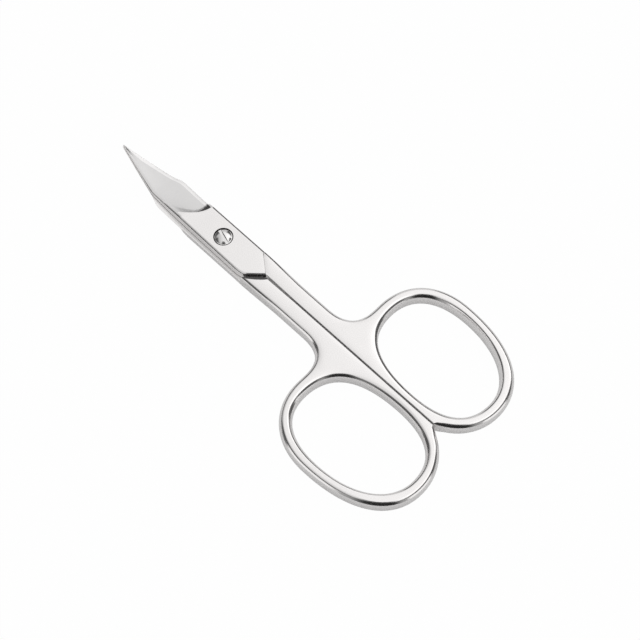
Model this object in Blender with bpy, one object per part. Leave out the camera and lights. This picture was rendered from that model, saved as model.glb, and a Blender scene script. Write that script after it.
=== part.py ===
# Curved nail scissors: two forged halves with finger rings, joined by one slotted screw.
# The scissors lie closed on the undersides of their rings, tips toward +Y, screw head up.

import math

import bmesh
import bpy
from mathutils import Matrix, Vector
from mathutils.geometry import interpolate_bezier

# Overall sizes, metres. Reaches are measured from the screw along the scissors, sides from the
# plane where the two handles meet. The screw sits a little to one side of that plane.
tip_reach = 0.0278
ring_end_reach = 0.0618
ring_side = 0.0223
shank_side = 0.00356
wall_half_height = 0.00105
screw_side = 0.00025

# Soft shoulder between side walls and faces: steps in from the edge, steps up. It is narrow on
# the plate and blade, and has its full width from a little way down the shank.
shoulder_ins = (0.00012, 0.00028, 0.0003)
shoulder_rises = (0.00027, 0.00034, 0.00024)
plate_shoulder_share = 0.3
shoulder_start_reach = 0.0083
shoulder_full_reach = 0.0099

# Clearances, and how far cutters run past what they cut
lap_gap = 0.00012
seam_gap = 0.00024
head_side_gap = 0.0002
head_seat_gap = 0.00005
journal_gap = 0.00006
outline_clear = 0.00005
cut_overrun = 0.002
bar_overrun = 0.001
seam_overrun = 0.0005

# Pivot plate: its end slants back from the seam to a corner, then runs round into its spine side
plate_step = 0.00013
plate_edge_side = 0.0036
plate_spine_side = 0.00306
plate_end_reach = 0.0117
plate_corner_back = 0.00245
plate_corner_side_share = 0.686
plate_corner_run = 0.0033
plate_corner_pull_share = 0.4
plate_blank_clear = 0.0011

# Slanted lines across the plate: the step that the other half's plate end faces, and the arrow
line_outer_side = 0.00315
line_inner_side = 0.00025
step_clear = 0.001
step_run = 0.0032
arrow_back = 0.0003
arrow_run = 0.0028

# The shank flares into the ring. At the waist, before the finger hole, the outline runs square
# to the scissors. Pull shares shape each bend, and place shares set a bend's end on the ring.
waist_reach = 0.03114
waist_side_share = 0.4863
flare_length = 0.0061
flare_pull_shares = (1.11, 0.34)

# Finger ring, outside: from the waist to the far side, the end and the seam
ring_side_place_share = 0.4
ring_end_side_share = 0.461
ring_seam_place_share = 0.649
ring_front_pull_shares = (0.624, 0.594)
ring_back_pull_shares = (0.62, 0.637)
ring_seam_pull_shares = (0.583, 0.527)

# Finger hole, set by the walls round it: from its front to the far side, the end and the seam
hole_front_wall = 0.00266
hole_side_wall = 0.00237
hole_end_wall = 0.0026
hole_seam_wall = 0.00185
hole_front_side_share = 0.537
hole_side_place_share = 0.421
hole_end_side_share = 0.463
hole_seam_place_share = 0.554
hole_front_pull_shares = (0.66, 0.623)
hole_back_pull_shares = (0.626, 0.562)
hole_end_pull_shares = (0.709, 0.622)
hole_seam_pull_shares = (0.667, 0.677)

# Blade outline: straight spine and edge, a knee on each side, then a blunt point
tip_side = 0.0001
tip_width = 0.0002
heel_reach = 0.0064
heel_run = 0.0022
edge_side = 0.00365
edge_bend_length = 0.0036
edge_bend_pull_share = 0.5
edge_knee_reach = 0.0174
edge_knee_side = 0.00272
spine_knee_reach = 0.017
spine_knee_side = 0.00274

# Blade grinding: the spine keeps a flat band, the rest is hollow down to the cutting bevel
taper_start = 0.009
taper_power = 1.35
tip_thickness = 0.0004
band_width = 0.00065
band_width_share = 0.22
bevel_width = 0.00075
bevel_width_share = 0.3
bevel_height = 0.0003
bevel_height_share = 0.45
edge_height = 0.00016
hollow_depth = 0.00012
plunge_lead = 0.0001
plunge_span = 0.0039
plunge_runout = 0.0014
ground_end = 0.0002

# Blade curve: both blades sweep up toward the screw head's side, more steeply near the tips
curve_start = 0.005
tip_rise = 0.0035
curve_power = 2.2

# Pivot screw
journal_radius = 0.00106
head_radius = 0.00168
head_well_depth = 0.00085
head_drop = 0.00005
head_dome_share = 0.655
head_dome_drop = 0.00004
head_rim_in = 0.00012
head_rim_drop = 0.0001
head_rim_edge = 0.00012
slot_width = 0.0006
slot_depth = 0.00042
slot_turn = math.radians(-16)
screw_end_recess = 0.00012
screw_end_chamfer = 0.0001

# Facets
round_facets = 48
ring_outer_facets = (12, 18, 24, 24)
ring_hole_facets = (18, 20, 20, 24)
edge_bend_facets = 6
corner_facets = 6
hollow_facets = 6
plunge_facets = 5
blade_rows = 12
slice_length = 0.0017
smooth_angle = math.radians(35)
weld = 1e-7

half_height = wall_half_height + sum(shoulder_rises)
plate_half_height = half_height - plate_step
pivot_shift = (ring_end_reach - tip_reach) / 2
ring_length = ring_end_reach - waist_reach
plate_corner_reach = plate_end_reach - plate_corner_back
edge_straight_reach = edge_knee_reach - edge_bend_length
heel_full_reach = heel_reach + heel_run
plunge_edge_reach = heel_reach - plunge_lead


def clear_scene():
    for old in list(bpy.data.objects):
        bpy.data.objects.remove(old, do_unlink=True)


def steel(name, colour, roughness):
    material = bpy.data.materials.new(name)
    material.use_nodes = True
    shader = material.node_tree.nodes["Principled BSDF"]
    shader.inputs["Base Color"].default_value = colour
    shader.inputs["Metallic"].default_value = 1
    shader.inputs["Roughness"].default_value = roughness
    material.diffuse_color = colour
    return material


def add_object(name, bm):
    mesh = bpy.data.meshes.new(name)
    bmesh.ops.recalc_face_normals(bm, faces=bm.faces)
    bm.to_mesh(mesh)
    bm.free()
    made = bpy.data.objects.new(name, mesh)
    bpy.context.collection.objects.link(made)
    return made


def carve(body, cutter):
    cutter.hide_render = True
    cutter.display_type = "WIRE"
    cut = body.modifiers.new(cutter.name, "BOOLEAN")
    cut.operation = "DIFFERENCE"
    cut.solver = "EXACT"
    cut.object = cutter
    depsgraph = bpy.context.evaluated_depsgraph_get()
    mesh = bpy.data.meshes.new_from_object(body.evaluated_get(depsgraph))
    body.modifiers.clear()
    body.data = mesh
    bpy.data.objects.remove(cutter, do_unlink=True)


def stretch(start, start_pull, end_pull, end, count):
    knots = [Vector((point[0], point[1], 0)) for point in (start, start_pull, end_pull, end)]
    points = interpolate_bezier(*knots, count + 1)
    return [(point.x, point.y) for point in points[:-1]]


def prism(name, outline, low, high):
    bm = bmesh.new()
    base = bm.faces.new([bm.verts.new((x, y, low)) for x, y in outline])
    grown = bmesh.ops.extrude_face_region(bm, geom=[base])
    for item in grown["geom"]:
        if isinstance(item, bmesh.types.BMVert):
            item.co.z = high
    return add_object(name, bm)


def turned(name, profile):
    bm = bmesh.new()
    verts = [bm.verts.new((radius, 0, height)) for radius, height in profile]
    edges = [bm.edges.new(pair) for pair in zip(verts, verts[1:])]
    geometry = verts + edges
    bmesh.ops.spin(bm, geom=geometry, cent=(0, 0, 0), axis=(0, 0, 1), angle=math.tau, steps=round_facets)
    bmesh.ops.remove_doubles(bm, verts=bm.verts, dist=weld)
    return add_object(name, bm)


def quarter(start, end, pull_shares, sideways, count):
    across = end[0] - start[0]
    along = end[1] - start[1]
    leave, arrive = pull_shares
    if sideways:
        start_pull = (start[0] + across * leave, start[1])
        end_pull = (end[0], end[1] - along * arrive)
    else:
        start_pull = (start[0], start[1] + along * leave)
        end_pull = (end[0] - across * arrive, end[1])
    return stretch(start, start_pull, end_pull, end, count)


def ring_outline():
    flare = (shank_side, flare_length - waist_reach)
    waist = (ring_side * waist_side_share, -waist_reach)
    side = (ring_side, -waist_reach - ring_length * ring_side_place_share)
    end = (ring_side * ring_end_side_share, -ring_end_reach)
    seam = (-seam_overrun, -waist_reach - ring_length * ring_seam_place_share)
    outline = quarter(flare, waist, flare_pull_shares, False, ring_outer_facets[0])
    outline += quarter(waist, side, ring_front_pull_shares, True, ring_outer_facets[1])
    outline += quarter(side, end, ring_back_pull_shares, False, ring_outer_facets[2])
    outline += quarter(end, seam, ring_seam_pull_shares, True, ring_outer_facets[3])
    return outline + [seam]


def hole_outline():
    front_reach = waist_reach + hole_front_wall
    length = ring_end_reach - hole_end_wall - front_reach
    width = ring_side - hole_side_wall - hole_seam_wall
    front = (hole_seam_wall + width * hole_front_side_share, -front_reach)
    side = (hole_seam_wall + width, -front_reach - length * hole_side_place_share)
    end = (hole_seam_wall + width * hole_end_side_share, -front_reach - length)
    seam = (hole_seam_wall, -front_reach - length * hole_seam_place_share)
    outline = quarter(front, side, hole_front_pull_shares, True, ring_hole_facets[0])
    outline += quarter(side, end, hole_back_pull_shares, False, ring_hole_facets[1])
    outline += quarter(end, seam, hole_end_pull_shares, True, ring_hole_facets[2])
    outline += quarter(seam, front, hole_seam_pull_shares, False, ring_hole_facets[3])
    return outline


def edge_outline():
    knee = Vector((edge_knee_side, edge_knee_reach))
    straight = knee - Vector((tip_side + tip_width / 2, tip_reach))
    pull = edge_bend_length * edge_bend_pull_share
    return stretch(
        knee,
        knee + straight.normalized() * pull,
        (edge_side, edge_straight_reach + pull),
        (edge_side, edge_straight_reach),
        edge_bend_facets,
    )


def half_outline():
    blank_end = plate_end_reach + plate_blank_clear
    outline = [(edge_side, tip_reach + bar_overrun)]
    outline.append((edge_side, heel_full_reach))
    outline.append((plate_edge_side, heel_reach))
    outline.append((plate_edge_side, -shoulder_start_reach))
    outline.append((shank_side, -shoulder_full_reach))
    outline += ring_outline()
    outline.append((-seam_overrun, -blank_end))
    outline.append((-plate_spine_side, plate_corner_back - blank_end))
    outline.append((-spine_knee_side, tip_reach + bar_overrun))
    return outline


def shoulder_share(side, reach):
    on_handle = side > 0 and reach <= -shoulder_full_reach
    return 1 if on_handle else plate_shoulder_share


def moved_in(outline, distance):
    moved = []
    for i in range(len(outline)):
        spot = Vector(outline[i])
        depth = distance * shoulder_share(*outline[i])
        before = (spot - Vector(outline[i - 1])).normalized()
        after = (Vector(outline[(i + 1) % len(outline)]) - spot).normalized()
        inward = Vector((before.y + after.y, -before.x - after.x))
        moved.append(tuple(spot + inward * depth / (1 + before.dot(after))))
    return moved


def add_walls(bm, outline, inward):
    shoulder = []
    depth = 0
    height = wall_half_height
    for step_in, step_up in zip(shoulder_ins, shoulder_rises):
        depth += step_in
        height += step_up
        shoulder.append((depth, height))
    levels = [(0, wall_half_height)] + shoulder
    levels = [(depth, -height) for depth, height in reversed(levels)] + levels
    loops = []
    for depth, height in levels:
        loops.append([bm.verts.new((x, y, height)) for x, y in moved_in(outline, depth * inward)])
    for lower, upper in zip(loops, loops[1:]):
        for i in range(len(outline)):
            bm.faces.new((lower[i - 1], lower[i], upper[i], upper[i - 1]))
    rims = (loops[0], loops[-1])
    return [[bm.edges.get((rim[i - 1], rim[i])) for i in range(len(rim))] for rim in rims]


def blank(name):
    bm = bmesh.new()
    outer = add_walls(bm, half_outline(), 1)
    inner = add_walls(bm, hole_outline(), -1)
    for outer_edges, inner_edges in zip(outer, inner):
        bmesh.ops.triangle_fill(bm, use_beauty=True, edges=outer_edges + inner_edges)
    return add_object(name, bm)


def seam_cutter():
    seam = seam_gap / 2
    plate_end = Vector((seam, -plate_end_reach))
    corner = Vector((-plate_spine_side * plate_corner_side_share, -plate_corner_reach))
    side = -plate_spine_side - outline_clear
    spine_start = plate_corner_run - plate_corner_reach
    pull = plate_corner_run * plate_corner_pull_share
    outline = [(seam, -ring_end_reach - cut_overrun), tuple(plate_end)]
    outline += stretch(
        corner,
        corner + (corner - plate_end).normalized() * pull,
        (side, spine_start - pull),
        (side, spine_start),
        corner_facets,
    )
    outline.append((side, spine_start))
    outline.append((side - cut_overrun, spine_start))
    outline.append((side - cut_overrun, -ring_end_reach - cut_overrun))
    return prism("seam_cut", outline, -half_height - cut_overrun, half_height + cut_overrun)


def point_cutter():
    far_side = edge_side + cut_overrun
    far_reach = tip_reach + cut_overrun
    start = edge_straight_reach
    outline = [(far_side, far_reach), (far_side, start), (edge_side + outline_clear, start)]
    outline += edge_outline()[::-1]
    outline.append((tip_side + tip_width / 2, tip_reach))
    outline.append((tip_side - tip_width / 2, tip_reach))
    outline.append((-spine_knee_side, spine_knee_reach))
    outline.append((-spine_knee_side - outline_clear, start))
    outline.append((-far_side, start))
    outline.append((-far_side, far_reach))
    return prism("point_cut", outline, -half_height - cut_overrun, half_height + cut_overrun)


def slanted_area(inner_reach, run):
    slope = run / (line_outer_side - line_inner_side)
    far_side = edge_side + cut_overrun
    far_reach = inner_reach - slope * (far_side - line_inner_side)
    near_reach = inner_reach + slope * (line_inner_side + seam_overrun)
    return [
        (far_side, -far_reach),
        (-seam_overrun, -near_reach),
        (-far_side, -near_reach),
        (-far_side, tip_reach + cut_overrun),
        (far_side, tip_reach + cut_overrun),
    ]


def lap_cutter():
    outline = slanted_area(plate_end_reach + step_clear, step_run)
    return prism("lap_cut", outline, -half_height - cut_overrun, lap_gap / 2)


def plate_face_cutter():
    outline = slanted_area(plate_end_reach - arrow_back, arrow_run)
    return prism("plate_face_cut", outline, plate_half_height, half_height + cut_overrun)


def spine_at(reach):
    if reach <= spine_knee_reach:
        return -spine_knee_side
    share = (reach - spine_knee_reach) / (tip_reach - spine_knee_reach)
    return -spine_knee_side + (tip_side - tip_width / 2 + spine_knee_side) * share


def edge_at(reach):
    if reach <= edge_straight_reach:
        return edge_side
    points = [(edge_side, edge_straight_reach)] + edge_outline()[::-1]
    points.append((tip_side + tip_width / 2, tip_reach))
    for (side, low), (next_side, high) in zip(points, points[1:]):
        if low < reach <= high:
            return side + (next_side - side) * (reach - low) / (high - low)
    return tip_side + tip_width / 2


def spine_height(reach):
    full = plate_half_height - lap_gap / 2
    left = max(tip_reach - reach, 0) / (tip_reach - taper_start)
    return lap_gap / 2 + tip_thickness + (full - tip_thickness) * left**taper_power


def ground_row(reach):
    stop = min(reach, tip_reach - ground_end)
    left = spine_at(stop)
    right = edge_at(stop)
    width = right - left
    band = left + min(band_width, band_width_share * width)
    bevel = right - min(bevel_width, bevel_width_share * width)
    top = spine_height(reach)
    rise = top - lap_gap / 2
    bevel_top = lap_gap / 2 + min(bevel_height, bevel_height_share * rise)
    sag = hollow_depth * (width / (edge_side + spine_knee_side)) ** 2
    row = [(left - cut_overrun, top)]
    for i in range(hollow_facets + 1):
        share = i / hollow_facets
        height = top + (bevel_top - top) * share - sag * math.sin(math.pi * share)
        row.append((band + (bevel - band) * share, height))
    edge_top = lap_gap / 2 + edge_height
    slope = (bevel_top - edge_top) / (right - bevel)
    row.append((right + cut_overrun, edge_top - slope * cut_overrun))
    return row


def plunge_at(side):
    share = (edge_side - side) / (edge_side + spine_knee_side - band_width)
    return plunge_edge_reach + plunge_span * max(share, 0) ** 2


def grind_cutter():
    columns = hollow_facets + 3
    plunges = [min(plunge_at(side), plunge_edge_reach + plunge_span) for side, _ in ground_row(taper_start)]
    rows = [[(side, heel_reach - cut_overrun, spine_height(heel_reach - cut_overrun))
             for side, _ in ground_row(taper_start)]]
    for i in range(plunge_facets + 1):
        share = i / plunge_facets
        row = []
        for column in range(columns):
            reach = plunges[column] + plunge_runout * share
            side, hollow = ground_row(reach)[column]
            top = spine_height(reach)
            row.append((side, reach, hollow + (top - hollow) * (1 - share) ** 2))
        rows.append(row)
    last = tip_reach + bar_overrun
    for i in range(1, blade_rows + 1):
        share = i / blade_rows
        row = []
        for column in range(columns):
            start = plunges[column] + plunge_runout
            reach = start + (last - start) * share
            side, hollow = ground_row(reach)[column]
            row.append((side, reach, hollow))
        rows.append(row)
    bm = bmesh.new()
    grid = [[bm.verts.new(spot) for spot in row] for row in rows]
    for lower, upper in zip(grid, grid[1:]):
        for i in range(columns - 1):
            bm.faces.new((lower[i], lower[i + 1], upper[i + 1], upper[i]))
    bmesh.ops.triangulate(bm, faces=bm.faces)
    grown = bmesh.ops.extrude_face_region(bm, geom=list(bm.faces))
    for item in grown["geom"]:
        if isinstance(item, bmesh.types.BMVert):
            item.co.z = half_height + cut_overrun
    return add_object("grind_cut", bm)


def head_well_cutter():
    well_floor = plate_half_height - head_well_depth
    bore = journal_radius + journal_gap
    well = head_radius + head_side_gap
    high = half_height + cut_overrun
    low = -half_height - cut_overrun
    profile = [(0, low), (bore, low), (bore, well_floor), (well, well_floor), (well, high), (0, high)]
    cutter = turned("head_well_cut", profile)
    cutter.data.transform(Matrix.Translation((screw_side, 0, 0)))
    return cutter


def thread_bore_cutter():
    bore = journal_radius + journal_gap
    high = half_height + cut_overrun
    cutter = turned("thread_bore_cut", [(0, -high), (bore, -high), (bore, high), (0, high)])
    cutter.data.transform(Matrix.Translation((-screw_side, 0, 0)))
    return cutter


def sweep_blade(body):
    bm = bmesh.new()
    bm.from_mesh(body.data)
    slices = int((tip_reach - curve_start) / slice_length)
    for i in range(slices + 1):
        spot = (0, curve_start + slice_length * i, 0)
        geometry = list(bm.verts) + list(bm.edges) + list(bm.faces)
        bmesh.ops.bisect_plane(bm, geom=geometry, dist=weld, plane_co=spot, plane_no=(0, 1, 0))
    bmesh.ops.triangulate(bm, faces=[face for face in bm.faces if len(face.verts) > 4])
    for vert in bm.verts:
        share = max(vert.co.y - curve_start, 0) / (tip_reach - curve_start)
        vert.co.z += tip_rise * share**curve_power
    bmesh.ops.recalc_face_normals(bm, faces=bm.faces)
    bm.to_mesh(body.data)
    bm.free()


def finish(body, material):
    body.data.materials.clear()
    body.data.materials.append(material)
    body.data.shade_smooth()
    body.data.set_sharp_from_angle(angle=smooth_angle)
    body.location = (screw_side, pivot_shift, half_height)


def carve_half(body):
    for cutter in (seam_cutter(), point_cutter(), lap_cutter(), plate_face_cutter(), grind_cutter()):
        carve(body, cutter)


def upper_half():
    body = blank("upper_half")
    carve_half(body)
    carve(body, head_well_cutter())
    sweep_blade(body)
    body.data.transform(Matrix.Translation((-screw_side, 0, 0)))
    finish(body, steel("upper_half_steel", (0.88, 0.87, 0.87, 1), 0.12))


def lower_half():
    body = blank("lower_half")
    carve_half(body)
    carve(body, thread_bore_cutter())
    body.data.transform(Matrix.Rotation(math.pi, 4, "Y"))
    sweep_blade(body)
    body.data.transform(Matrix.Translation((-screw_side, 0, 0)))
    finish(body, steel("lower_half_steel", (0.86, 0.85, 0.85, 1), 0.14))


def pivot_screw():
    head_floor = plate_half_height - head_well_depth + head_seat_gap
    top = plate_half_height - head_drop
    rim = top - head_dome_drop - head_rim_drop
    end = screw_end_recess - plate_half_height
    body = turned(
        "pivot_screw",
        [
            (0, top),
            (head_radius * head_dome_share, top - head_dome_drop),
            (head_radius - head_rim_in, rim),
            (head_radius, rim - head_rim_edge),
            (head_radius, head_floor),
            (journal_radius, head_floor),
            (journal_radius, end + screw_end_chamfer),
            (journal_radius - screw_end_chamfer, end),
            (0, end),
        ],
    )
    half_slot = slot_width / 2
    reach = head_radius + cut_overrun
    outline = [(-half_slot, -reach), (half_slot, -reach), (half_slot, reach), (-half_slot, reach)]
    slot = prism("slot_cut", outline, top - slot_depth, top + cut_overrun)
    slot.data.transform(Matrix.Rotation(slot_turn, 4, "Z"))
    carve(body, slot)
    finish(body, steel("pivot_screw_steel", (0.78, 0.77, 0.77, 1), 0.2))


clear_scene()
lower_half()
upper_half()
pivot_screw()
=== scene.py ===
import math

import bmesh
import bpy
import numpy as np
from mathutils import Matrix, Vector, kdtree
from mathutils.geometry import delaunay_2d_cdt, interpolate_bezier


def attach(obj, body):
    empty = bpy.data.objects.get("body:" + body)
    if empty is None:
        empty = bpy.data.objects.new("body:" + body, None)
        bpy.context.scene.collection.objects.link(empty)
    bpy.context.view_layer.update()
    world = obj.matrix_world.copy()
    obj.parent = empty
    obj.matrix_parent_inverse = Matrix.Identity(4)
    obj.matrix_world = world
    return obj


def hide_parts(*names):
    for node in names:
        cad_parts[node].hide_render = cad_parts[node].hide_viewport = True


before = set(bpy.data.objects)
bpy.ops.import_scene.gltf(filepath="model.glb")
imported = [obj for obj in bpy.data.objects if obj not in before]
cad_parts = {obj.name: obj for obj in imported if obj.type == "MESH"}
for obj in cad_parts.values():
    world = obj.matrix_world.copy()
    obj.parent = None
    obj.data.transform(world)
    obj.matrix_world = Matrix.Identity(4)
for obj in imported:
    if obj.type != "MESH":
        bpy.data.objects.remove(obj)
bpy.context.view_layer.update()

# The two halves: each is one steel forging whose finger ring, shank, pivot plate and blade are
# ground and polished from a single blank. The lower half is the same shape turned over, and
# the blades of both are bent up. Sizes are in metres, from the screw and the handles' seam.
tip_reach = 0.0278
ring_end_reach = 0.0618
ring_side = 0.0223
shank_side = 0.00356
screw_side = 0.00025
half_height = 0.0019
plate_height = 0.00174
handle_edge_height = 0.00182
pivot_shift = (ring_end_reach - tip_reach) / 2
lap_gap = 0.00012
seam_side = 0.00012
seam_open_side = 0.0002
seam_narrow_reach = 0.0195
seam_open_reach = 0.0135
seam_edge_share = 0.28
seam_polished_levels = 8
point_spacing = 0.0003
curve_samples = 200

# Wall profiles from the middle of the thickness up to the face: steps in and drops below it. The
# soft one rounds the handle by hand polishing, and the crisp one breaks the plate's edges. The
# hole's rounding is wider and shallower on the side that round_turn points to.
soft_ins = np.array((0, 15, 45, 85, 130, 165, 205, 265, 345, 435, 500, 555, 610, 740, 870, 935)) * 1e-6
soft_drops = np.array((0, 1370, 1070, 870, 720, 620, 540, 460, 370, 275, 205, 155, 118, 58, 8, 0)) * 1e-6
crisp_ins = np.array((0, 0, 0, 8, 25, 55, 90, 135, 190, 260, 330, 390, 430, 462, 492, 518)) * 1e-6
crisp_drops = np.array((0, 900, 380, 320, 268, 228, 192, 158, 127, 92, 59, 33, 19, 9, 2, 0)) * 1e-6
round_turn = math.radians(155)
round_widening = 0.22
round_shallowing = 0.35
soften_start = 0.009
soften_run = 0.01
crotch_soften_run = 0.0025
underside_softness = 0.35
full_wall_height = 0.0016
least_level_step = 0.00001

# Pivot plate: slanted end with a rounded corner, and the arrow-shaped line across it
plate_edge_side = 0.0036
plate_spine_side = 0.00306
plate_end_reach = 0.0117
plate_corner = (-0.0021, -0.00925)
plate_corner_run = 0.0033
plate_corner_pull = 0.4
plate_neck_side = 0.00279
line_inner_side = 0.00025
step_bevel_width = 0.00042
step_bevel_drop = 0.00015
step_inner_reach = 0.0127
step_slope = 1.1034
arrow_inner_reach = 0.0114
arrow_slope = 0.9655
arrow_width = 0.0001
arrow_inset = 0.00012
arrow_outset = 0.00015
arrow_dip = 0.00007
arrow_dip_run = 0.0004
arrow_dip_start = 0.005
plate_dip_share = 0.4

# Shank flare and finger ring, outside and hole. The shares place the widest and the farthest
# spots, and the pulls are the reach of each quarter curve's handles.
waist_reach = 0.03114
waist_side_share = 0.4863
flare_length = 0.0061
ring_length = ring_end_reach - waist_reach
ring_widest_share = 0.4
ring_end_share = 0.461
ring_meet_side = -0.0005
ring_meet_share = 0.649
ring_pulls = ((1.11, 0.34), (0.624, 0.594), (0.62, 0.637), (0.583, 0.527))
hole_front_wall = 0.00266
hole_side_wall = 0.00237
hole_end_wall = 0.0026
hole_seam_wall = 0.00185
hole_front_share = 0.537
hole_widest_share = 0.421
hole_end_share = 0.463
hole_seam_share = 0.554
hole_pulls = ((0.66, 0.623), (0.626, 0.562), (0.709, 0.622), (0.667, 0.677))
ring_middle = (0.0109, -0.0465)

# Blade: straight spine and edge, a knee on each side, hollow-ground down to the cutting bevel
heel_reach = 0.0064
heel_full_reach = 0.0086
edge_side = 0.00365
edge_knee = Vector((0.00272, 0.0174))
edge_straight_reach = 0.0138
edge_bend_length = 0.0018
spine_knee = Vector((-0.00274, 0.017))
tip_width = 0.0002
taper_start = 0.009
taper_power = 1.35
tip_thickness = 0.0004
band_width = 0.00065
band_most_share = 0.22
bevel_width = 0.00075
bevel_most_share = 0.3
bevel_start = 0.00637
bevel_height = 0.00036
bevel_most_height_share = 0.45
edge_height = 0.00016
hollow_depth = 0.00012
plunge_reach = 0.0063
plunge_span = 0.0039
plunge_inset = 0.00015
plunge_points = 34
plunge_runout = 0.0008
plunge_runout_growth = 2
shoulder_width = 0.0034
shoulder_length = 0.0012
shoulder_slope = 0.45
shoulder_shade_share = 1.4
curve_start = 0.005
tip_rise = 0.0035
curve_power = 2.2

# Crown of the handle's polished faces
crown_bend = 110
crown_limit = 0.00008
crown_rounds = 900

# Spots of the face nets: close rows round the rims, on the blade and on its plunge, an even
# pattern elsewhere, each with the clear space that it keeps
rim_rows = (0.0001, 0.00022, 0.00036)
rim_clear_share = 0.8
blade_row_count = 70
blade_row_step = 0.00031
blade_column_count = 19
blade_clear = 0.0001
plunge_column_count = 42
plunge_clear = 0.00003
shoulder_rows = (0.25, 0.5, 0.75, 1)
runout_rows = (0.05, 0.1, 0.17, 0.25, 0.35, 0.46, 0.58, 0.72, 0.86, 1)
face_spacing = 0.00034
face_row_share = 0.866
face_clear = 0.00022
face_past_screw = 0.011
face_first_column = -10
lines_short_of_tip = 0.0004
cell_size = 0.0003
net_scale = 1000

# Finishes, in the order of the material slots. The last one is near-black steel, painted shade in recesses
# and on the plunge's shoulder
polished_face, ground_face, honed_face, lapped_face, painted_shade_face = range(5)
sharp_angle = math.radians(32)
merge_distance = 0.00000001


def along(start, end):
    start, end = Vector(start), Vector(end)
    count = max(1, round((end - start).length / point_spacing))
    return [tuple(start.lerp(end, i / count)) for i in range(count)]


def stretch(start, start_pull, end_pull, end):
    knots = [Vector((point[0], point[1], 0)) for point in (start, start_pull, end_pull, end)]
    rough = interpolate_bezier(*knots, curve_samples)
    length = sum((b - a).length for a, b in zip(rough, rough[1:]))
    count = max(2, round(length / point_spacing))
    points, walked, target = [tuple(rough[0][:2])], 0, length / count
    for a, b in zip(rough, rough[1:]):
        piece = (b - a).length
        while walked + piece >= target * len(points) and len(points) < count:
            share = (target * len(points) - walked) / piece
            points.append(tuple(a.lerp(b, share)[:2]))
        walked += piece
    return points


def quarter(start, end, pull_shares, sideways):
    across, onward = end[0] - start[0], end[1] - start[1]
    leave, arrive = pull_shares
    if sideways:
        start_pull, end_pull = (start[0] + across * leave, start[1]), (end[0], end[1] - onward * arrive)
        return stretch(start, start_pull, end_pull, end)
    return stretch(start, (start[0], start[1] + onward * leave), (end[0] - across * arrive, end[1]), end)


def arrow_reach(side):
    return arrow_inner_reach - arrow_slope * (side - line_inner_side)


def spine_height(reach):
    full = plate_height - lap_gap / 2
    left = min(max(tip_reach - reach, 0) / (tip_reach - taper_start), 1)
    return lap_gap / 2 + tip_thickness + (full - tip_thickness) * left**taper_power


def half_outline():
    heel = (plate_edge_side, heel_reach)
    flare = (shank_side, flare_length - waist_reach)
    lean = (plate_edge_side - shank_side) / (heel_reach - flare[1])
    arrow_y = -arrow_reach(shank_side + arrow_outset)
    arrow_out = (plate_edge_side - lean * (heel_reach - arrow_y), arrow_y)
    waist = (ring_side * waist_side_share, -waist_reach)
    side = (ring_side, -waist_reach - ring_length * ring_widest_share)
    end = (ring_side * ring_end_share, -ring_end_reach)
    meet = (ring_meet_side, -waist_reach - ring_length * ring_meet_share)
    last = quarter(end, meet, ring_pulls[3], True)
    last = [spot for spot in last if spot[0] > seam_side + point_spacing / 2]
    next_spot = Vector(last[-1]) + (Vector(last[-1]) - Vector(last[-2]))
    share = (last[-1][0] - seam_side) / (last[-1][0] - next_spot.x)
    crotch = (seam_side, last[-1][1] + (next_spot.y - last[-1][1]) * share)
    plate_end = Vector((seam_open_side, -plate_end_reach))
    seam_narrow, seam_open = (seam_side, -seam_narrow_reach), (seam_open_side, -seam_open_reach)
    corner = Vector(plate_corner)
    to_corner = (corner - plate_end).normalized()
    arrow_in = plate_end + to_corner * arrow_inset
    spine_start = (-plate_spine_side, plate_corner[1] + plate_corner_run)
    neck = (-plate_neck_side, edge_straight_reach)
    pull = plate_corner_run * plate_corner_pull
    tip_edge, tip_spine = (tip_width, tip_reach), (0.0, tip_reach)
    edge_run = (edge_knee - Vector(tip_edge)).normalized() * edge_bend_length
    edge_straight = (edge_side, edge_straight_reach)
    edge_pull = (edge_side, edge_straight_reach + edge_bend_length)
    edge_full = (edge_side, heel_full_reach)
    half_arrow = arrow_width / 2
    parts = [
        (along(tip_edge, edge_knee), "blade"),
        (stretch(edge_knee, edge_knee + edge_run, edge_pull, edge_straight), "blade"),
        (along(edge_straight, edge_full), "blade"),
        (along(edge_full, heel), "blade"),
        ([heel], "blade"),
        (along((plate_edge_side, plunge_reach), (arrow_out[0], arrow_out[1] + half_arrow)), "plate"),
        ([(arrow_out[0], arrow_out[1] + half_arrow)], "plate"),
        (along((arrow_out[0], arrow_out[1] - half_arrow), flare), "handle"),
        (quarter(flare, waist, ring_pulls[0], False), "handle"),
        (quarter(waist, side, ring_pulls[1], True), "handle"),
        (quarter(side, end, ring_pulls[2], False), "handle"),
        (last, "handle"),
        (along(crotch, seam_narrow) + along(seam_narrow, seam_open) + along(seam_open, plate_end), "seam"),
        ([tuple(plate_end), tuple(arrow_in - to_corner * half_arrow)], "seam"),
        (along(arrow_in + to_corner * half_arrow, corner), "plate"),
        (stretch(corner, corner + to_corner * pull, (spine_start[0], spine_start[1] - pull),
                 spine_start), "plate"),
        (along(spine_start, neck), "plate"),
        (along(neck, spine_knee), "blade"),
        (along(spine_knee, tip_spine), "blade"),
        ([tip_spine], "blade"),
    ]
    spots, kinds = [], []
    for points, kind in parts:
        spots += points
        kinds += [kind] * len(points)
    return spots, kinds, Vector(crotch)


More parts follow.
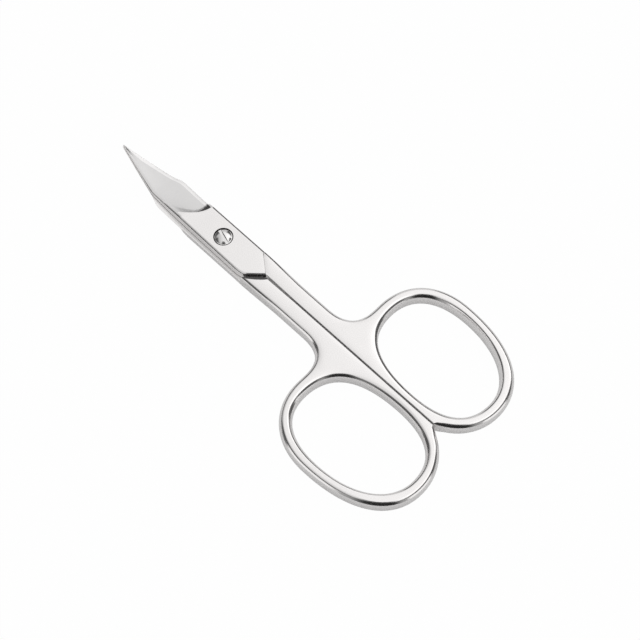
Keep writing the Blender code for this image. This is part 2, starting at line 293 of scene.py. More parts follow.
def hole_outline():
    front_reach = waist_reach + hole_front_wall
    length = ring_end_reach - hole_end_wall - front_reach
    width = ring_side - hole_side_wall - hole_seam_wall
    front = (hole_seam_wall + width * hole_front_share, -front_reach)
    side = (hole_seam_wall + width, -front_reach - length * hole_widest_share)
    end = (hole_seam_wall + width * hole_end_share, -front_reach - length)
    seam = (hole_seam_wall, -front_reach - length * hole_seam_share)
    outline = quarter(front, side, hole_pulls[0], True)
    outline += quarter(side, end, hole_pulls[1], False)
    outline += quarter(end, seam, hole_pulls[2], True)
    return outline + quarter(seam, front, hole_pulls[3], False)


def side_at(points, reach):
    reaches = [point[1] for point in points]
    sides = [point[0] for point in points]
    return float(np.interp(reach, reaches, sides))


blank_spots, blank_kinds, crotch = half_outline()
hole_spots = hole_outline()
heel_index = next(i for i, kind in enumerate(blank_kinds) if kind == "plate")
edge_line = sorted(blank_spots[: heel_index + 1], key=lambda spot: spot[1])
spine_start_reach = 0.0078
spine_line = [spot for spot in blank_spots if spot[0] <= 0 and spot[1] > -spine_start_reach]
spine_line.sort(key=lambda spot: spot[1])


def blade_lines(reach):
    left, right = side_at(spine_line, reach), side_at(edge_line, reach)
    width = right - left
    band = left + min(band_width, band_most_share * width)
    bevel = right - min(bevel_width, bevel_most_share * width)
    return left, band, bevel, right


plunge_sides = np.linspace(spine_knee.x + band_width, edge_side - plunge_inset, plunge_points)
plunge_shares = (edge_side - plunge_sides) / (edge_side - plunge_sides[0])
plunge_reaches = plunge_reach + plunge_span * plunge_shares**2


def plunge_at(side):
    return float(np.interp(side, plunge_sides, plunge_reaches))


def runout_at(side):
    share = float(np.interp(side, plunge_sides, plunge_shares))
    return plunge_runout * (1 + plunge_runout_growth * share**2)


def shoulder_at(side):
    return shoulder_length * max(1 - (edge_side - side) / shoulder_width, 0)


def ground_height(side, reach):
    top = min(spine_height(reach), plate_height)
    start = plunge_at(side)
    if reach <= start:
        return top
    left, band, bevel, right = blade_lines(reach)
    if side <= band:
        return top
    full = spine_height(reach)
    bevel_top = lap_gap / 2 + min(bevel_height, bevel_most_height_share * (full - lap_gap / 2))
    edge_top = lap_gap / 2 + edge_height
    if side >= bevel:
        hollow = bevel_top + (edge_top - bevel_top) * (side - bevel) / (right - bevel)
    else:
        share = (side - band) / (bevel - band)
        sag = hollow_depth * ((right - left) / (edge_side - spine_knee.x)) ** 2
        hollow = full + (bevel_top - full) * share - sag * math.sin(math.pi * share)
    shoulder = shoulder_at(side)
    full -= shoulder_slope * min(reach - start, shoulder)
    run = min(max(reach - start - shoulder, 0) / runout_at(side), 1)
    return min(hollow + (full - hollow) * (1 - run) ** 2, plate_height)


def moved_in(outline, distances):
    moved = []
    for i in range(len(outline)):
        spot = Vector(outline[i])
        before = (spot - Vector(outline[i - 1])).normalized()
        after = (Vector(outline[(i + 1) % len(outline)]) - spot).normalized()
        inward = Vector((before.y + after.y, -before.x - after.x))
        moved.append(tuple(spot + inward * distances[i] / (1 + before.dot(after))))
    return moved


def ramp(value):
    value = min(max(value, 0), 1)
    return value * value * (3 - 2 * value)


def wall_rows(outline, kinds, upside, inward):
    soft, tops, scale, wide, deep = [], [], [], [], []
    for (x, y), kind in zip(outline, kinds):
        if kind == "handle":
            from_crotch = (Vector((x, y)) - crotch).length / crotch_soften_run
            least = 0 if upside else underside_softness
            from_arrow = least + (1 - least) * ramp((-y - soften_start) / soften_run)
            soft.append(ramp(from_crotch) * from_arrow)
        else:
            soft.append(0)
        top = handle_edge_height if kind in ("handle", "seam") else ground_height(x, y)
        tops.append(top)
        share = min(1, (top - lap_gap / 2) / full_wall_height) if kind == "blade" else 1
        scale.append(seam_edge_share if kind == "seam" else share)
        around = math.atan2(y - ring_middle[1], x - ring_middle[0])
        turn = math.cos(around - round_turn) if inward < 0 else 0
        wide.append(1 + round_widening * turn)
        deep.append(-round_shallowing * turn)
    rows = []
    for level in range(len(soft_ins)):
        ins = [(soft_ins[level] * s * w + crisp_ins[level] * (1 - s)) * z * inward
               for s, w, z in zip(soft, wide, scale)]
        places = moved_in(outline, ins)
        row = []
        for (x, y), top, s, d, z in zip(places, tops, soft, deep, scale):
            soft_drop = soft_drops[level] * (1 + d * (1 - (soft_drops[level] / soft_drops[1]) ** 2))
            drop = (soft_drop * s + crisp_drops[level] * (1 - s)) * z
            height = 0 if level == 0 else max(top - drop, least_level_step * level)
            row.append((x, y, height))
        rows.append(row)
    return rows


def inside(points, outline):
    x, y = points[:, 0], points[:, 1]
    within = np.zeros(len(points), bool)
    for (ax, ay), (bx, by) in zip(outline, outline[1:] + outline[:1]):
        if ay != by:
            crosses = (ay > y) != (by > y)
            within ^= crosses & (x < (bx - ax) * (y - ay) / (by - ay) + ax)
    return within


def face_points(rim, hole):
    wanted = []
    for distance in rim_rows:
        for loop, way in ((rim, 1), (hole, -1)):
            clear = distance * rim_clear_share
            wanted += [(spot, clear) for spot in moved_in(loop, [distance * way] * len(loop))]
    for i in range(blade_row_count):
        reach = plunge_reach + blade_row_step * (i + 1)
        left, band, bevel, right = blade_lines(min(reach, tip_reach - point_spacing))
        for share in np.linspace(0, 1, blade_column_count)[1:-1]:
            side = band + (bevel - band) * share
            if reach > plunge_at(side) + shoulder_at(side) + runout_at(side):
                wanted.append(((side, reach), blade_clear))
        wanted.append((((bevel + right) / 2, reach), blade_clear))
        wanted.append((((left + band) / 2, reach), blade_clear))
    for side in np.linspace(spine_knee.x + band_width, edge_side, plunge_column_count)[1:-1]:
        start, shoulder = plunge_at(side), shoulder_at(side)
        for share in shoulder_rows:
            wanted.append(((side, start + shoulder * share), plunge_clear))
        for run in runout_rows:
            wanted.append(((side, start + shoulder + runout_at(side) * run), plunge_clear))
    for row in range(int((ring_end_reach + face_past_screw) / (face_spacing * face_row_share))):
        y = -ring_end_reach + row * face_spacing * face_row_share
        for column in range(face_first_column, int(ring_side / face_spacing) + 1):
            wanted.append((((column + (row % 2) / 2) * face_spacing, y), face_clear))
    spots = np.array([spot for spot, _ in wanted])
    kept = inside(spots, rim) & ~inside(spots, hole)
    return [pair for pair, keep in zip(wanted, kept) if keep]


def face_lines(rim, rim_index):
    lines = []
    for name in ("handle", "plate"):
        start, end = rim_index["arrow_out_" + name], rim_index["arrow_in_" + name]
        lines.append((start, along(rim[start], rim[end])[1:], end))
    start = rim_index["heel"]
    curve = list(zip(plunge_sides, plunge_reaches))[::-1]
    lines.append((start, curve, None))
    stop = tip_reach - lines_short_of_tip
    reaches = np.arange(bevel_start, stop, point_spacing)
    lines.append((None, [(blade_lines(reach)[2], reach) for reach in reaches], None))
    reaches = np.arange(plunge_reach + plunge_span, stop, point_spacing)
    lines.append((None, [(blade_lines(reach)[1], reach) for reach in reaches], None))
    return lines


def face_net(rim, hole, rim_index):
    spots = [tuple(spot) for spot in rim] + [tuple(spot) for spot in hole]
    edges = [(i, (i + 1) % len(rim)) for i in range(len(rim))]
    edges += [(len(rim) + i, len(rim) + (i + 1) % len(hole)) for i in range(len(hole))]
    for start, points, end in face_lines(rim, rim_index):
        indices = [start] if start is not None else []
        for point in points:
            indices.append(len(spots))
            spots.append(point)
        if end is not None:
            indices.append(end)
        edges += list(zip(indices, indices[1:]))
    tree = kdtree.KDTree(len(spots))
    for i, spot in enumerate(spots):
        tree.insert((spot[0], spot[1], 0), i)
    tree.balance()
    cells = {}
    for spot, clear in face_points(rim, hole):
        if tree.find((spot[0], spot[1], 0))[2] < clear:
            continue
        column, row = int(spot[0] // cell_size), int(spot[1] // cell_size)
        around = [(column + dx, row + dy) for dx in (-1, 0, 1) for dy in (-1, 0, 1)]
        near = [other for cell in around for other in cells.get(cell, ())]
        if any((spot[0] - x) ** 2 + (spot[1] - y) ** 2 < clear * clear for x, y in near):
            continue
        cells.setdefault((column, row), []).append(spot)
        spots.append(spot)
    scaled = [Vector((x * net_scale, y * net_scale)) for x, y in spots]
    found = delaunay_2d_cdt(scaled, edges, [], 0, 1e-6)
    points = np.array([(spot.x / net_scale, spot.y / net_scale) for spot in found[0]])
    triangles = np.array([face for face in found[2] if len(face) == 3])
    middles = points[triangles].mean(axis=1)
    triangles = triangles[inside(middles, rim) & ~inside(middles, hole)]
    rims = np.full(len(points), -1)
    for new, olds in enumerate(found[3]):
        for old in olds:
            if old < len(rim) + len(hole):
                rims[new] = old
    return points, triangles, rims


def crown(points, triangles, held):
    corners = points[triangles]
    stiff = np.zeros(len(points))
    area = np.zeros(len(points))
    pairs, weights = [], []
    for k in range(3):
        a, b, c = corners[:, k], corners[:, (k + 1) % 3], corners[:, (k + 2) % 3]
        u, v = b - a, c - a
        cross = np.abs(u[:, 0] * v[:, 1] - u[:, 1] * v[:, 0])
        cot = (u * v).sum(axis=1) / np.maximum(cross, 1e-14) / 2
        pairs.append(triangles[:, [(k + 1) % 3, (k + 2) % 3]])
        weights.append(cot)
        np.add.at(area, triangles[:, k], cross / 6)
    pairs, weights = np.concatenate(pairs), np.concatenate(weights)
    for column in range(2):
        np.add.at(stiff, pairs[:, column], weights)
    free = ~held & (stiff > 0)

    def spread(u):
        out = stiff * u
        out -= np.bincount(pairs[:, 0], weights * u[pairs[:, 1]], len(u))
        out -= np.bincount(pairs[:, 1], weights * u[pairs[:, 0]], len(u))
        return out * free

    u = np.zeros(len(points))
    residue = area * crown_bend * free
    search = residue.copy()
    left = (residue * residue).sum()
    for _ in range(crown_rounds):
        pull = spread(search)
        size = left / max((search * pull).sum(), 1e-30)
        u += size * search
        residue -= size * pull
        now = (residue * residue).sum()
        search = residue + search * now / max(left, 1e-40)
        left = now
    return crown_limit * (1 - np.exp(-u / crown_limit))


def finish_at(side, reach):
    left, band, bevel, right = blade_lines(reach)
    start = plunge_at(side)
    if not (reach > start or (reach > taper_start and side < band)):
        return polished_face
    # The plunge's shoulder is painted dark as the shade under its wall
    if start < reach < start + shoulder_at(side) * shoulder_shade_share:
        return painted_shade_face
    return honed_face if side > bevel else ground_face


def half_blank(name):
    n, m = len(blank_spots), len(hole_spots)
    hole_walls = wall_rows(hole_spots, ["handle"] * m, False, -1)
    walls = {
        "top": (wall_rows(blank_spots, blank_kinds, True, 1), hole_walls),
        "bottom": (wall_rows(blank_spots, blank_kinds, False, 1), hole_walls),
    }
    handle_first = blank_kinds.index("handle")
    plate_again = n - blank_kinds[::-1].index("seam")
    rim_index = {
        "arrow_out_handle": handle_first,
        "arrow_out_plate": handle_first - 1,
        "arrow_in_handle": plate_again - 1,
        "arrow_in_plate": plate_again,
        "heel": heel_index,
    }
    verts, faces, finishes = [], [], []
    base = {}

    def add_rows(key, rows, mirrored, first):
        for level in range(first, len(rows)):
            base[key, level] = len(verts)
            verts.extend((x, y, -z if mirrored else z) for x, y, z in rows[level])

    for index, key in enumerate(("rim", "hole")):
        add_rows(key + "top", walls["top"][index], False, 0)
        add_rows(key + "bottom", walls["bottom"][index], True, 1)
        base[key + "bottom", 0] = base[key + "top", 0]
    levels = len(soft_ins)
    for key, count in (("rim", n), ("hole", m)):
        for sheet in ("top", "bottom"):
            for level in range(levels - 1):
                low, high = base[key + sheet, level], base[key + sheet, level + 1]
                for i in range(count):
                    j = (i + 1) % count
                    quad = (low + i, low + j, high + j, high + i)
                    if (key == "rim") == (sheet == "top"):
                        quad = quad[::-1]
                    faces.append(quad)
                    seam = key == "rim" and blank_kinds[i] == "seam"
                    matt = seam and level < levels - seam_polished_levels
                    finishes.append(lapped_face if matt else polished_face)
    for sheet in ("top", "bottom"):
        outer, inner = walls[sheet]
        rim = [spot[:2] for spot in outer[-1]]
        hole = [spot[:2] for spot in inner[-1]]
        points, triangles, rims = face_net(rim, hole, rim_index)
        ends = []
        for side in ("out", "in"):
            pair = [rim[rim_index[f"arrow_{side}_{part}"]] for part in ("handle", "plate")]
            ends.append(np.array(pair).mean(axis=0))
        line = ends[1] - ends[0]
        arrows = ((points - ends[0]) @ np.array((-line[1], line[0]))) / np.linalg.norm(line)
        on_handle = (arrows > 0) & (points[:, 0] > 0)
        handle_triangles = triangles[on_handle[triangles].all(axis=1)]
        rise = crown(points, handle_triangles, rims >= 0)
        ids = np.empty(len(points), int)
        for i, (x, y) in enumerate(points):
            if rims[i] >= 0:
                key = "rim" if rims[i] < n else "hole"
                ids[i] = base[key + sheet, levels - 1] + rims[i] - (0 if key == "rim" else n)
                continue
            height = handle_edge_height + rise[i] if on_handle[i] else ground_height(x, y)
            if y < -arrow_dip_start:
                dip = arrow_dip * (1 if on_handle[i] else plate_dip_share)
                height -= dip * math.exp(-abs(arrows[i]) / arrow_dip_run)
            ids[i] = len(verts)
            verts.append((x, y, height if sheet == "top" else -height))
        for triangle in triangles:
            corner = ids[triangle]
            flip = sheet == "bottom"
            faces.append(tuple(corner[::-1] if flip else corner))
            finishes.append(finish_at(*points[triangle].mean(axis=0)))
    mesh = bpy.data.meshes.new(name)
    mesh.from_pydata(verts, [], faces)
    for polygon, finish in zip(mesh.polygons, finishes):
        polygon.material_index = finish
    mesh.validate()
    made = bpy.data.objects.new(name, mesh)
    bpy.context.collection.objects.link(made)
    tidy_faces(made)
    return made


def tidy_faces(body):
    bm = bmesh.new()
    bm.from_mesh(body.data)
    bmesh.ops.remove_doubles(bm, verts=bm.verts, dist=merge_distance)
    bmesh.ops.recalc_face_normals(bm, faces=bm.faces)
    bm.to_mesh(body.data)
    bm.free()


def carve(body, cutter):
    cut = body.modifiers.new(cutter.name, "BOOLEAN")
    cut.operation = "DIFFERENCE"
    cut.solver = "EXACT"
    cut.object = cutter
    depsgraph = bpy.context.evaluated_depsgraph_get()
    mesh = bpy.data.meshes.new_from_object(body.evaluated_get(depsgraph))
    body.modifiers.clear()
    body.data = mesh
    bpy.data.objects.remove(cutter, do_unlink=True)


def linked(name, mesh_maker):
    mesh = bpy.data.meshes.new(name)
    bm = bmesh.new()
    mesh_maker(bm)
    bmesh.ops.recalc_face_normals(bm, faces=bm.faces)
    bm.to_mesh(mesh)
    bm.free()
    made = bpy.data.objects.new(name, mesh)
    bpy.context.collection.objects.link(made)
    return made


def lap_cutter():
    wide, deep, bend_side = 0.006, -0.003, 0.0005
    row_step, past_tip = 0.0004, 0.001
    lean = math.hypot(1, step_slope)
    wall_reach = step_inner_reach - step_bevel_width * lean
    bevel_end = step_bevel_drop - handle_edge_height
    spread = (bevel_end - deep) * step_bevel_width / step_bevel_drop * lean
    near = wall_reach + step_slope * (line_inner_side + bend_side)
    far = wall_reach - step_slope * (wide - line_inner_side)
    step_row = ((-wide, -near), (-bend_side, -near), (wide, -far))
    reaches = np.arange(curve_start - row_step / 2, tip_reach + past_tip, row_step)
    rows = [step_row] + [((-wide, reach), (wide, reach)) for reach in reaches]

    def build(bm):
        grid = []
        for height, out in ((lap_gap / 2, 0), (bevel_end, 0), (deep, spread)):
            sheet = []
            for row in rows:
                back = out if row is step_row else 0
                sheet.append([bm.verts.new((x, y - back, height)) for x, y in row])
            grid.append(sheet)
        step_faces = []
        for sheet in (grid[0], grid[2]):
            for a, b in zip(sheet, sheet[1:]):
                bm.faces.new(a + b[::-1])
        for top, bottom in zip(grid, grid[1:]):
            for side in (0, -1):
                for i in range(len(rows) - 1):
                    bm.faces.new((top[i][side], top[i + 1][side], bottom[i + 1][side], bottom[i][side]))
            for i in range(2):
                step_faces.append(bm.faces.new((top[0][i], top[0][i + 1], bottom[0][i + 1], bottom[0][i])))
            bm.faces.new((top[-1][0], top[-1][1], bottom[-1][1], bottom[-1][0]))
        # The step wall is painted dark as shade; the lap faces are lapped steel
        for face in bm.faces:
            face.material_index = painted_shade_face if face in step_faces else lapped_face

    return linked("lap_cut", build)


turned_facets = 120
turned_merge = 0.0000001


def turned_cutter(name, profile, side):
    def build(bm):
        verts = [bm.verts.new((radius, 0, height)) for radius, height in profile]
        edges = [bm.edges.new(pair) for pair in zip(verts, verts[1:])]
        bmesh.ops.spin(
            bm, geom=verts + edges, cent=(0, 0, 0), axis=(0, 0, 1), angle=math.tau, steps=turned_facets)
        bmesh.ops.remove_doubles(bm, verts=bm.verts, dist=turned_merge)
        bmesh.ops.translate(bm, verts=bm.verts, vec=(side, 0, 0))
        # The cut walls of the screw well and the bores are painted dark as shade
        for face in bm.faces:
            face.material_index = painted_shade_face

    return linked(name, build)


def bend_blade(body):
    count = len(body.data.vertices)
    places = np.empty(count * 3)
    body.data.vertices.foreach_get("co", places)
    places = places.reshape(count, 3)
    share = np.maximum(places[:, 1] - curve_start, 0) / (tip_reach - curve_start)
    places[:, 2] += tip_rise * share**curve_power
    body.data.vertices.foreach_set("co", places.ravel())


class Dab:
    """One value in a material's nodes. Sums on it add Math nodes."""

    def __init__(self, tree, socket):
        self.tree, self.socket = tree, socket

    def sum(self, operation, *values):
        return mix_in(self.tree, "ShaderNodeMath", {"operation": operation}, dict(enumerate(values)))

    def __add__(self, other):
        return self.sum("ADD", self, other)

    def __rsub__(self, other):
        return self.sum("SUBTRACT", other, self)

    def __mul__(self, other):
        return self.sum("MULTIPLY", self, other)

    __radd__ = __add__
    __rmul__ = __mul__

    def between(self, low, high):
        values = {"Value": self, "From Min": low, "From Max": high, "To Min": 0, "To Max": 1}
        smooth = {"interpolation_type": "SMOOTHSTEP"}
        return mix_in(self.tree, "ShaderNodeMapRange", smooth, values, "Result")


def mix_in(tree, kind, settings, values, output=0):
    node = tree.nodes.new(kind)
    for name, value in settings.items():
        setattr(node, name, value)
    for key, value in values.items():
        if isinstance(value, Dab):
            tree.links.new(value.socket, node.inputs[key])
        else:
            node.inputs[key].default_value = value
    return Dab(tree, node.outputs[output])


cloud_scale = 260
speck_scale = 2600


def steel(name, light, dark, roughness, grain_scale, grain_height):
    """Steel whose fine marks run along grain_scale's smallest number."""
    material = bpy.data.materials.new(name)
    material.use_nodes = True
    tree = material.node_tree
    shader = tree.nodes["Principled BSDF"]
    place = mix_in(tree, "ShaderNodeTexCoord", {}, {}, "Object")
    stretched = mix_in(tree, "ShaderNodeVectorMath", {"operation": "MULTIPLY"}, {0: place, 1: grain_scale})

    def noise(where, scale, detail):
        values = {"Vector": where, "Scale": scale, "Detail": detail}
        return mix_in(tree, "ShaderNodeTexNoise", {}, values, "Fac")

    cloud = noise(place, cloud_scale, 3)
    marks = noise(stretched, 1, 4)
    specks = noise(place, speck_scale, 2)

    # Tone, roughness and relief each vary a little with the clouds, the marks and the specks
    tone = cloud * 0.6 + marks * 0.4
    colour = mix_in(tree, "ShaderNodeMix", {"data_type": "RGBA"}, {0: tone, 6: dark, 7: light}, 2)
    tree.links.new(colour.socket, shader.inputs["Base Color"])
    rough = roughness * (0.75 + cloud * 0.3 + marks * 0.15 + specks * 0.1)
    tree.links.new(rough.socket, shader.inputs["Roughness"])
    shader.inputs["Metallic"].default_value = 1
    relief = {"Height": marks + specks * 0.3, "Strength": 0.5, "Distance": grain_height}
    bump = mix_in(tree, "ShaderNodeBump", {}, relief, "Normal")
    tree.links.new(bump.socket, shader.inputs["Normal"])
    return material


polished = steel(
    "polished_steel", (0.93, 0.915, 0.912, 1), (0.88, 0.865, 0.862, 1), 0.16, (900, 260, 900), 0.0000004)
satin = steel(
    "hollow_ground_steel", (0.74, 0.735, 0.735, 1), (0.62, 0.615, 0.615, 1), 0.3, (500, 5200, 500), 0.0000012)
honed = steel(
    "honed_bevel_steel", (0.9, 0.89, 0.89, 1), (0.82, 0.81, 0.81, 1), 0.34, (700, 5200, 700), 0.0000008)
lapped = steel(
    "lapped_steel", (0.92, 0.91, 0.905, 1), (0.84, 0.83, 0.83, 1), 0.24, (600, 3200, 600), 0.000001)
# Near-black steel, painted shade: on the step wall under the pivot plate, the plunge's shoulder, the screw
# well's walls and the slot's walls
painted_shade = steel(
    "painted_shade_steel", (0.16, 0.155, 0.155, 1), (0.08, 0.078, 0.078, 1), 0.5, (1900, 1900, 1900), 0.000002)


def finish_half(half, node, body):
    for material in (polished, satin, honed, lapped, painted_shade):
        half.data.materials.append(material)
    bend_blade(half)
    half.data.transform(Matrix.Translation((0, pivot_shift, half_height)))
    tidy_faces(half)
    half.data.shade_smooth()
    half.data.set_sharp_from_angle(angle=sharp_angle)
    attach(half, body)
    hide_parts(node)


upper = half_blank("upper_half_steel_body")
carve(upper, lap_cutter())
lower = upper.copy()
lower.data = upper.data.copy()
lower.name = "lower_half_steel_body"
bpy.context.collection.objects.link(lower)

# The upper half has the screw head's well, with a rounded lip, and a clearance bore; their walls are painted
# dark as shade
well_depth = 0.00085
well_floor = plate_height - well_depth
bore, well = 0.00112, 0.00188
lip_steps = ((0, 0.00007), (0.00002, 0.00003), (0.00006, 0))
cut_reach = 0.004
well_profile = [(0, -cut_reach), (bore, -cut_reach), (bore, well_floor), (well, well_floor)]
well_profile += [(well + out, plate_height - drop) for out, drop in lip_steps]
well_profile += [(well + lip_steps[-1][0], cut_reach), (0, cut_reach)]
carve(upper, turned_cutter("head_well_cut", well_profile, screw_side))
finish_half(upper, "upper_half", "upper_body")

# The lower half has the thread's plain bore, and is turned over
bore_profile = [(0, -cut_reach), (bore, -cut_reach), (bore, cut_reach), (0, cut_reach)]
carve(lower, turned_cutter("thread_bore_cut", bore_profile, -screw_side))
lower.data.transform(Matrix.Rotation(math.pi, 4, "Y"))
finish_half(lower, "lower_half", "lower_body")

# The pivot screw: turned from steel bar, with a domed and polished head that a saw slot crosses
# for the screwdriver. Its shank passes through the upper half and is screwed tight into the
# lower half. A profile is swept round the screw's axis, then the slot is cut.
head_radius = 0.00176
dome_radius = 0.0029
dome_edge = 0.00165
rim_round = 0.00011
head_rise = 0.0004
head_top = plate_height + head_rise
head_clearance = 0.00005
head_floor = well_floor + head_clearance
journal_radius = 0.00106
end_gap = 0.00012
screw_end = end_gap - plate_height
end_chamfer = 0.0001
screw_facets = 128
dome_steps = 15
rim_steps = 6
slot_width = 0.0006
slot_depth = 0.0005
slot_turn = math.radians(-16)


def screw_profile():
    points = []
    for share in np.linspace(0, 1, dome_steps):
        radius = dome_edge * share
        points.append((radius, head_top - dome_radius + math.sqrt(dome_radius**2 - radius**2)))
    dome_foot = points[-1][1]
    for turn in np.linspace(0, math.pi / 2, rim_steps)[1:]:
        drop = rim_round * (1 - math.cos(turn))
        points.append((dome_edge + rim_round * math.sin(turn), dome_foot - drop))
    points += [(head_radius, head_floor), (journal_radius, head_floor)]
    points += [(journal_radius, screw_end + end_chamfer), (journal_radius - end_chamfer, screw_end)]
    return points + [(0, screw_end)]


class Net:
    """A node tree that is built from top to bottom, each node named by its type."""

    def __init__(self, name):
        self.tree = bpy.data.node_groups.new(name, "GeometryNodeTree")
        self.tree.interface.new_socket("Geometry", in_out="INPUT", socket_type="NodeSocketGeometry")
        self.tree.interface.new_socket("Geometry", in_out="OUTPUT", socket_type="NodeSocketGeometry")
        self.start = self.tree.nodes.new("NodeGroupInput")
        self.end = self.tree.nodes.new("NodeGroupOutput")

    def size(self, name, kind, value):
        socket = self.tree.interface.new_socket(name, in_out="INPUT", socket_type=kind)
        if value is not None:
            socket.default_value = value
        return self.start.outputs[name]

    def add(self, kind, settings, values):
        node = self.tree.nodes.new(kind)
        for key, value in settings.items():
            setattr(node, key, value)
        for key, value in values.items():
            if isinstance(value, bpy.types.NodeSocket):
                self.tree.links.new(value, node.inputs[key])
            else:
                node.inputs[key].default_value = value
        return node.outputs[0]


def screw_net():
    core, core_merge, saw_length, wall_tolerance = 0.000002, 0.000006, 0.006, 0.000004
    net = Net("turned_screw")
    facets = net.size("Facets", "NodeSocketInt", screw_facets)
    width = net.size("Slot width", "NodeSocketFloat", slot_width)
    depth = net.size("Slot depth", "NodeSocketFloat", slot_depth)
    turn = net.size("Slot turn", "NodeSocketFloat", slot_turn)
    top = net.size("Head top", "NodeSocketFloat", head_top)
    steel_socket = net.size("Steel", "NodeSocketMaterial", None)
    slot_shade_socket = net.size("Slot shade steel", "NodeSocketMaterial", None)

    # The profile goes round the screw's axis
    chain = net.add("GeometryNodeMeshToCurve", {}, {"Mesh": net.start.outputs["Geometry"]})
    circle = net.add(
        "GeometryNodeCurvePrimitiveCircle", {"mode": "RADIUS"}, {"Resolution": facets, "Radius": core})
    swept = net.add("GeometryNodeCurveToMesh", {}, {"Curve": circle, "Profile Curve": chain})
    closed = net.add("GeometryNodeMergeByDistance", {}, {"Geometry": swept, "Distance": core_merge})

    # The saw slot is cut across the head
    saw_size = net.add("ShaderNodeCombineXYZ", {}, {"X": width, "Y": saw_length, "Z": depth})
    saw_place = net.add("ShaderNodeCombineXYZ", {}, {"Z": top})
    saw_turn = net.add("ShaderNodeCombineXYZ", {}, {"Z": turn})
    box = net.add("GeometryNodeMeshCube", {}, {"Size": (1, 1, 2)})
    saw = net.add("GeometryNodeTransform", {}, {
        "Geometry": box, "Translation": saw_place, "Rotation": saw_turn, "Scale": saw_size})
    exact = {"operation": "DIFFERENCE", "solver": "EXACT"}
    cut = net.add("GeometryNodeMeshBoolean", exact, {"Mesh 1": closed, "Mesh 2": saw})
    whole = net.add("GeometryNodeRealizeInstances", {}, {"Geometry": cut})
    dressed = net.add("GeometryNodeSetMaterial", {}, {"Geometry": whole, "Material": steel_socket})

    # Faces half a slot's width from its middle line are the slot's walls, which are painted dark as shade
    back_turn = net.add("ShaderNodeMath", {"operation": "MULTIPLY"}, {0: turn, 1: -1})
    spot = net.add("GeometryNodeInputPosition", {}, {})
    turned = net.add(
        "ShaderNodeVectorRotate", {"rotation_type": "Z_AXIS"}, {"Vector": spot, "Angle": back_turn})
    across = net.add("ShaderNodeSeparateXYZ", {}, {0: turned})
    aside = net.add("ShaderNodeMath", {"operation": "ABSOLUTE"}, {0: across})
    half = net.add("ShaderNodeMath", {"operation": "MULTIPLY"}, {0: width, 1: 0.5})
    near = net.add("ShaderNodeMath", {"operation": "COMPARE"}, {0: aside, 1: half, 2: wall_tolerance})
    walls = net.add("GeometryNodeSetMaterial", {}, {
        "Geometry": dressed, "Selection": near, "Material": slot_shade_socket})
    net.tree.links.new(walls, net.end.inputs["Geometry"])
    return net.tree


def screw_body(polish, slot_shade):
    mesh = bpy.data.meshes.new("pivot_screw_steel_body")
    chain = [(radius, -height, 0) for radius, height in screw_profile()]
    mesh.from_pydata(chain, [(i, i + 1) for i in range(len(chain) - 1)], [])
    made = bpy.data.objects.new("pivot_screw_steel_body", mesh)
    bpy.context.collection.objects.link(made)
    modifier = made.modifiers.new("turned_screw", "NODES")
    modifier.node_group = screw_net()
    for socket in modifier.node_group.interface.items_tree:
        if socket.name in ("Steel", "Slot shade steel"):
            modifier[socket.identifier] = polish if socket.name == "Steel" else slot_shade
    depsgraph = bpy.context.evaluated_depsgraph_get()
    made.data = bpy.data.meshes.new_from_object(made.evaluated_get(depsgraph))
    made.modifiers.clear()
    return made


screw_steel = steel(
    "screw_steel", (0.9, 0.89, 0.885, 1), (0.8, 0.79, 0.79, 1), 0.17, (700, 2600, 700), 0.000001)
screw = screw_body(screw_steel, painted_shade)
screw.data.transform(Matrix.Translation((screw_side, pivot_shift, half_height)))
tidy_faces(screw)
screw.data.shade_smooth()
screw.data.set_sharp_from_angle(angle=sharp_angle)
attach(screw, "lower_body")
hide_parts("pivot_screw")

# The table and the studio: a white sheet under the scissors, a soft white tent above that is a
# little brighter on the right, and the dark room behind the camera, which polished steel shows.
view_right = Vector((0.699, -0.715, 0)).normalized()
camera_place = Vector((-0.080785, -0.088111, 0.244311))
camera_target = Vector((0.000526, -0.008652, 0.0038))
forward = (camera_target - camera_place).normalized()
view_up = view_right.cross(forward)
camera = bpy.data.objects.new("camera", bpy.data.cameras.new("camera"))
bpy.context.collection.objects.link(camera)
camera_turn = Matrix((view_right, view_up, -forward)).transposed().to_4x4()
camera.matrix_world = Matrix.Translation(camera_place) @ camera_turn
camera.data.lens = 80.359
camera.data.sensor_width = 36
camera.data.clip_start = 0.01
bpy.context.scene.camera = camera
bpy.context.scene.view_settings.view_transform = "Standard"

# The sheet is white to the camera, and a little whiter than its paper in the steel's reflections
sheet_radius = 0.35
sheet_inner_share = 0.3
sheet_sides = 48
sheet_gap = 0.00002
white_to_camera = 0.985
white_in_gloss = 0.25


def lay_sheet(bm):
    rings = []
    for radius in (sheet_radius * sheet_inner_share, sheet_radius):
        turns = [math.tau * i / sheet_sides for i in range(sheet_sides)]
        rings.append([bm.verts.new((radius * math.cos(a), radius * math.sin(a), -sheet_gap)) for a in turns])
    inner, outer = rings
    bm.faces.new(inner)
    for i in range(sheet_sides):
        bm.faces.new((inner[i - 1], inner[i], outer[i], outer[i - 1]))


table = linked("table", lay_sheet)
if table.data.polygons[0].normal.z < 0:
    table.data.flip_normals()
paper = bpy.data.materials.new("white_paper")
paper.use_nodes = True
tree = paper.node_tree
tree.nodes.clear()
path_camera = mix_in(tree, "ShaderNodeLightPath", {}, {}, "Is Camera Ray")
path_glossy = mix_in(tree, "ShaderNodeLightPath", {}, {}, "Is Glossy Ray")
plain = mix_in(tree, "ShaderNodeBsdfDiffuse", {}, {"Color": (0.86, 0.86, 0.86, 1)}, "BSDF")
glow = mix_in(tree, "ShaderNodeEmission", {}, {"Color": (1, 1, 1, 1), "Strength": 1}, "Emission")
share = path_camera * white_to_camera + path_glossy * white_in_gloss
sheet = mix_in(tree, "ShaderNodeMixShader", {}, {0: share, 1: plain, 2: glow}, "Shader")
out = tree.nodes.new("ShaderNodeOutputMaterial")
tree.links.new(sheet.socket, out.inputs["Surface"])
table.data.materials.append(paper)

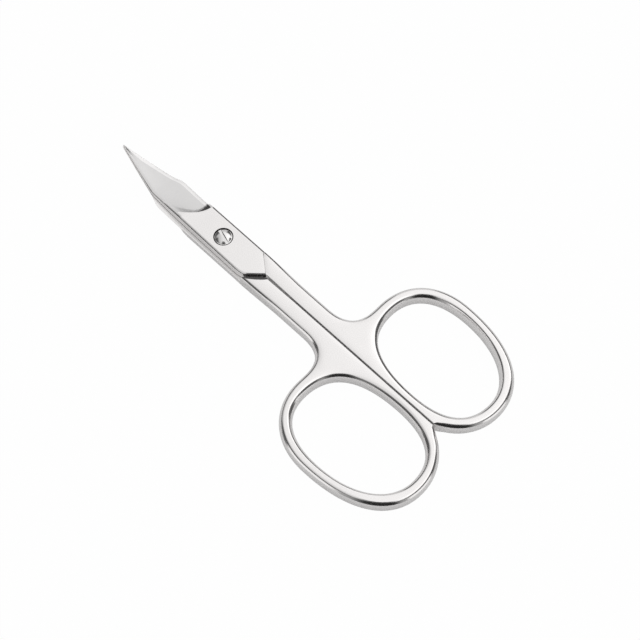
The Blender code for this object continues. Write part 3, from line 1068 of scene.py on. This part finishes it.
world = bpy.data.worlds.new("tent")
bpy.context.scene.world = world
world.use_nodes = True
tree = world.node_tree
tree.nodes.clear()
heading = mix_in(tree, "ShaderNodeTexCoord", {}, {}, "Generated")
parts = tree.nodes.new("ShaderNodeSeparateXYZ")
tree.links.new(heading.socket, parts.inputs[0])
height = Dab(tree, parts.outputs["Z"])


def toward(direction):
    dot = {"operation": "DOT_PRODUCT"}
    return mix_in(tree, "ShaderNodeVectorMath", dot, {0: heading, 1: direction}, "Value")


# facing is 1 on the camera's side of the room, 0 at its left and right, and -1 at the far side
right = toward(view_right)
front = toward(-Vector((forward.x, forward.y, 0)).normalized())
flat_length = right * right + front * front + 0.00001
level = mix_in(tree, "ShaderNodeMath", {"operation": "SQRT"}, {0: flat_length})
facing = mix_in(tree, "ShaderNodeMath", {"operation": "DIVIDE"}, {0: front, 1: level})

# The tent's roof comes lower at the far side. The lens side of the room is black, with a dim
# patch next to it, a low white card at each side, and a strip of light at the far side.
room_light = 0.09
floor_light = 0.9
roof = height.between(0.72, 0.8)
roof = roof + (1 - roof) * height.between(0.4, 0.55) * (1 - facing.between(-0.5, -0.3))
lens = facing.between(0.84, 0.96) * (1 - height.between(0.93, 0.965))
card = facing.between(0.1, 0.22) * (1 - facing.between(0.7, 0.8)) * (1 - height.between(0.24, 0.33))
dim = facing.between(0.7, 0.78) * (1 - facing.between(0.9, 0.96)) * (1 - height.between(0.5, 0.7))
back = (1 - facing.between(-0.985, -0.95)) * (1 - height.between(0.4, 0.55))
overhead = (0.86 + right * 0.6) * roof
lit = overhead + card * 0.9 + dim * 0.25 + back * 0.6
tent = lit * (1 - lens * 0.95) + room_light * (1 - lens * 0.8)
below = 1 - height.between(-0.03, 0.0)
seen = mix_in(tree, "ShaderNodeLightPath", {}, {}, "Is Camera Ray")
value = tent * (1 - below) + below * floor_light
value = value * (1 - seen) + seen
background = tree.nodes.new("ShaderNodeBackground")
tree.links.new(value.socket, background.inputs["Strength"])
out = tree.nodes.new("ShaderNodeOutputWorld")
tree.links.new(background.outputs[0], out.inputs["Surface"])
background.inputs["Color"].default_value = (1, 0.995, 0.99, 1)
